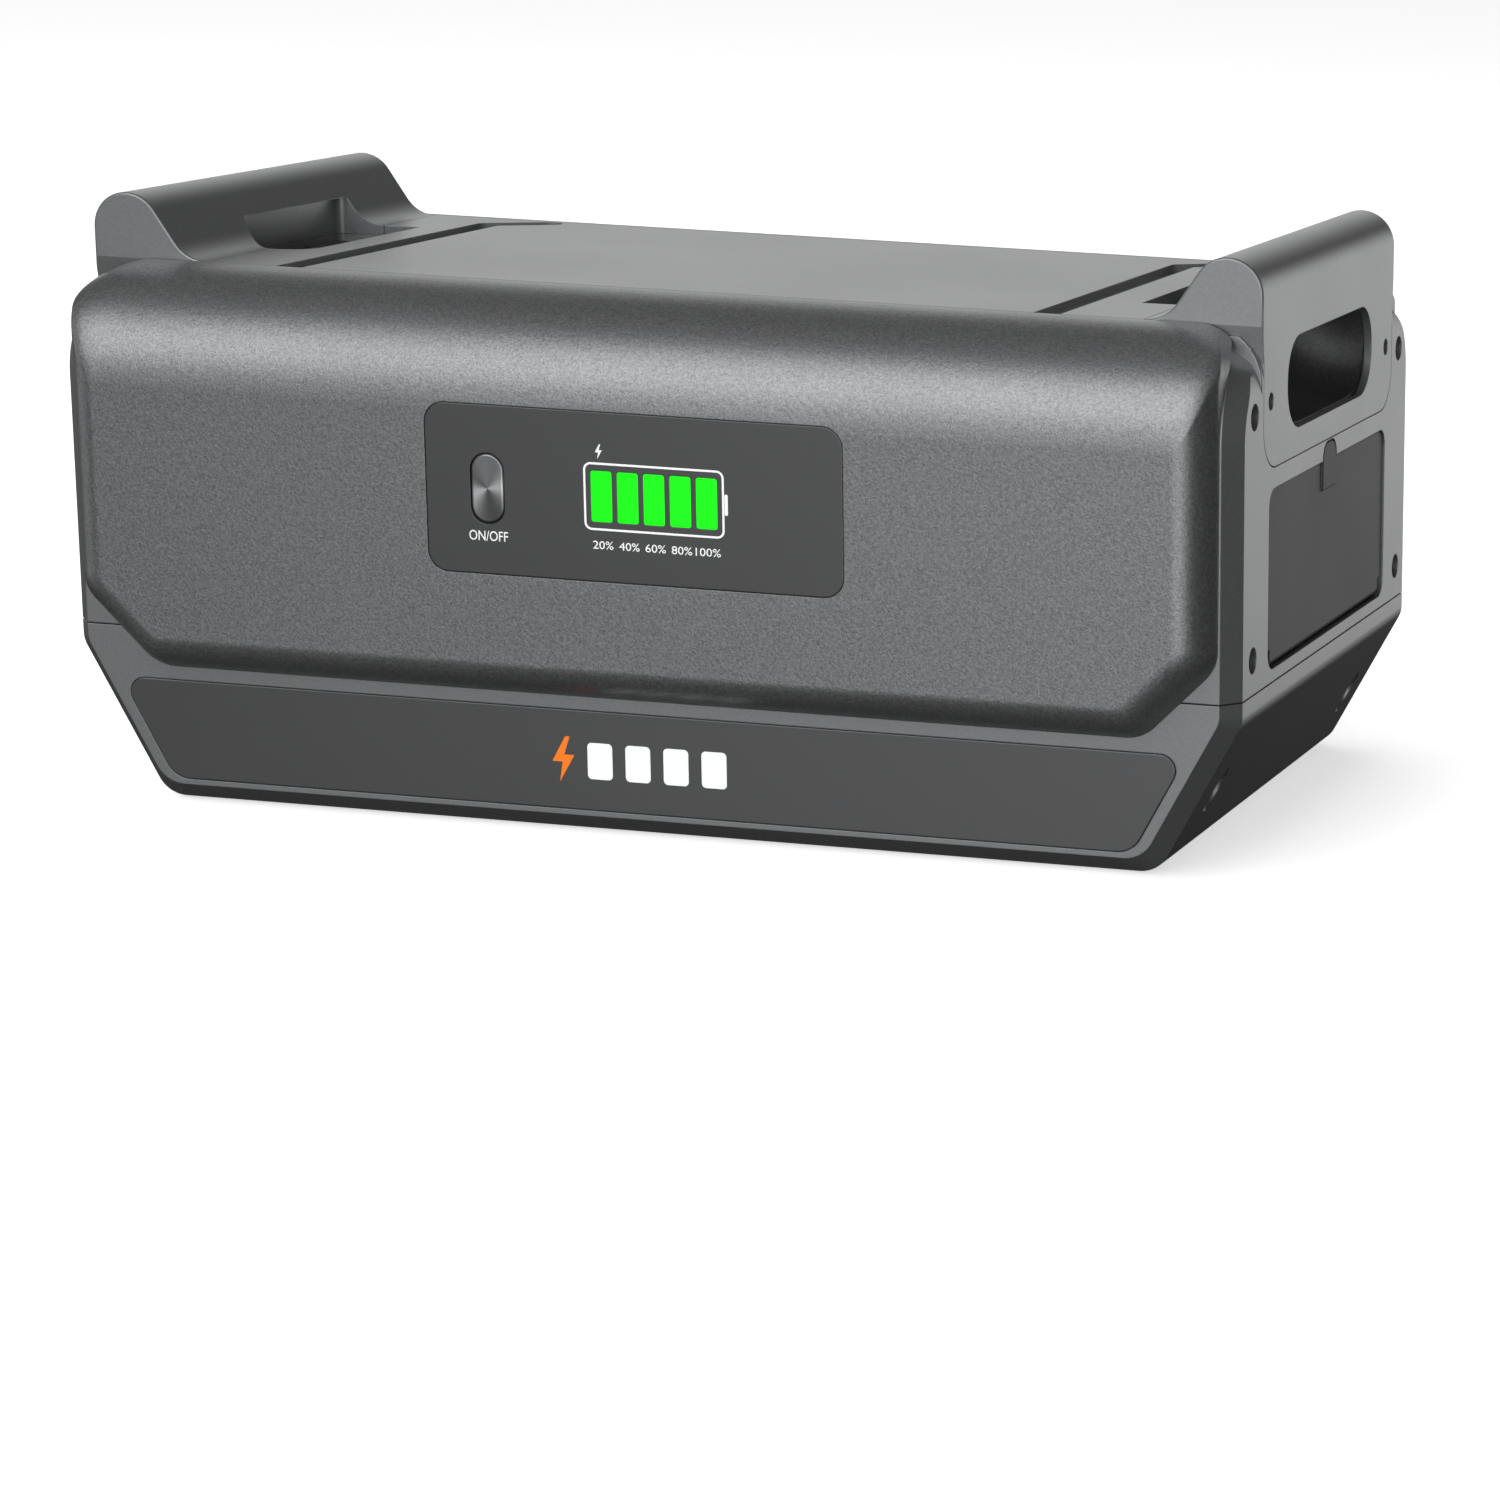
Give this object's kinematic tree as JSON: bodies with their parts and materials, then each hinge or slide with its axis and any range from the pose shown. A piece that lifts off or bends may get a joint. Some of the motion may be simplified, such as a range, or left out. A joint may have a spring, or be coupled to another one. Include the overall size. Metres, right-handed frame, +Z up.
{
  "type": "stackable expansion battery",
  "caption": "Portable stackable battery with padded front and back covers, two arch handles, a lit charge display with a power button, and a hinged side door over its sockets.",
  "frame": {"origin": "centre of the footprint on the ground, under the foot pads", "axes": "+X to the right seen from the front, towards the side with the port door; -Y towards the front display; +Z up"},
  "size_m": [0.442, 0.267, 0.221],
  "materials": {
    "shell_plastic": "fine even grain",
    "cover_plastic": "sand grain, satin",
    "dark_plastic": "grained",
    "door_plastic": "fine, smooth",
    "plate_satin": "satin",
    "lens_acrylic": "satin print behind a clear face",
    "button_metal": "radially turned",
    "bar_green": "translucent, lit from behind",
    "white_plastic": "plain",
    "circuit_board": "solder mask",
    "led_white": "clear",
    "component_black": "moulded",
    "black_rubber": "matte",
    "plain_steel": "zinc plated",
    "black_steel": "black oxide",
    "plain_aluminium": "mill finish",
    "contact_brass": "plated",
    "busbar_copper": "copper, bare",
    "fuse_ceramic": "ceramic",
    "cell_can": "can in a blue insulating film",
    "cable_red": "silicone",
    "cable_black": "silicone"
  },
  "bodies": {
    "case": {"base_shell": "shell_plastic", "upper_shell": "shell_plastic", "front_cover": "cover_plastic", "back_cover": "cover_plastic", "left_handle": "shell_plastic", "right_handle": "shell_plastic", "left_grip_scoop": "dark_plastic", "right_grip_scoop": "dark_plastic", "handle_screws": "plain_steel", "case_screws": "black_steel", "base_screws": "black_steel", "foot_pads": "black_rubber", "shell_gasket": "black_rubber", "name_plate": "plate_satin", "display_lens": "lens_acrylic", "button_guide": "dark_plastic", "power_switch": "dark_plastic", "charge_bars": "bar_green", "light_guide_holder": "white_plastic", "display_board": "circuit_board", "display_leds": "led_white", "display_screws": "plain_steel", "display_cable": "cable_black", "door_pin": "plain_steel", "port_tray": "dark_plastic", "expansion_sockets": "dark_plastic", "socket_contacts": "contact_brass", "socket_screws": "plain_steel", "left_cells": "cell_can", "right_cells": "cell_can", "end_plates": "plain_aluminium", "pack_straps": "plain_steel", "cell_busbars": "busbar_copper", "insulation_sheet": "white_plastic", "bms_board": "circuit_board", "bms_components": "component_black", "heat_sink": "plain_aluminium", "board_standoffs": "plain_steel", "main_fuse": "fuse_ceramic", "positive_cable": "cable_red", "negative_cable": "cable_black", "cell_pads": "black_rubber"},
    "power_button": {"power_button": "button_metal"},
    "port_door": {"port_door": "door_plastic"}
  },
  "joints": [
    {"name": "power_button_press", "type": "slide", "parent": "case", "child": "power_button", "axis": [0, 1, 0], "range_m": [0, 0.0015], "stiffness_N_per_m": 900},
    {"name": "port_door_swing", "type": "hinge", "parent": "case", "child": "port_door", "pos_m": [0.2172, 0, 0.0742], "axis": [0, 1, 0], "range_deg": [0, 90]}
  ]
}
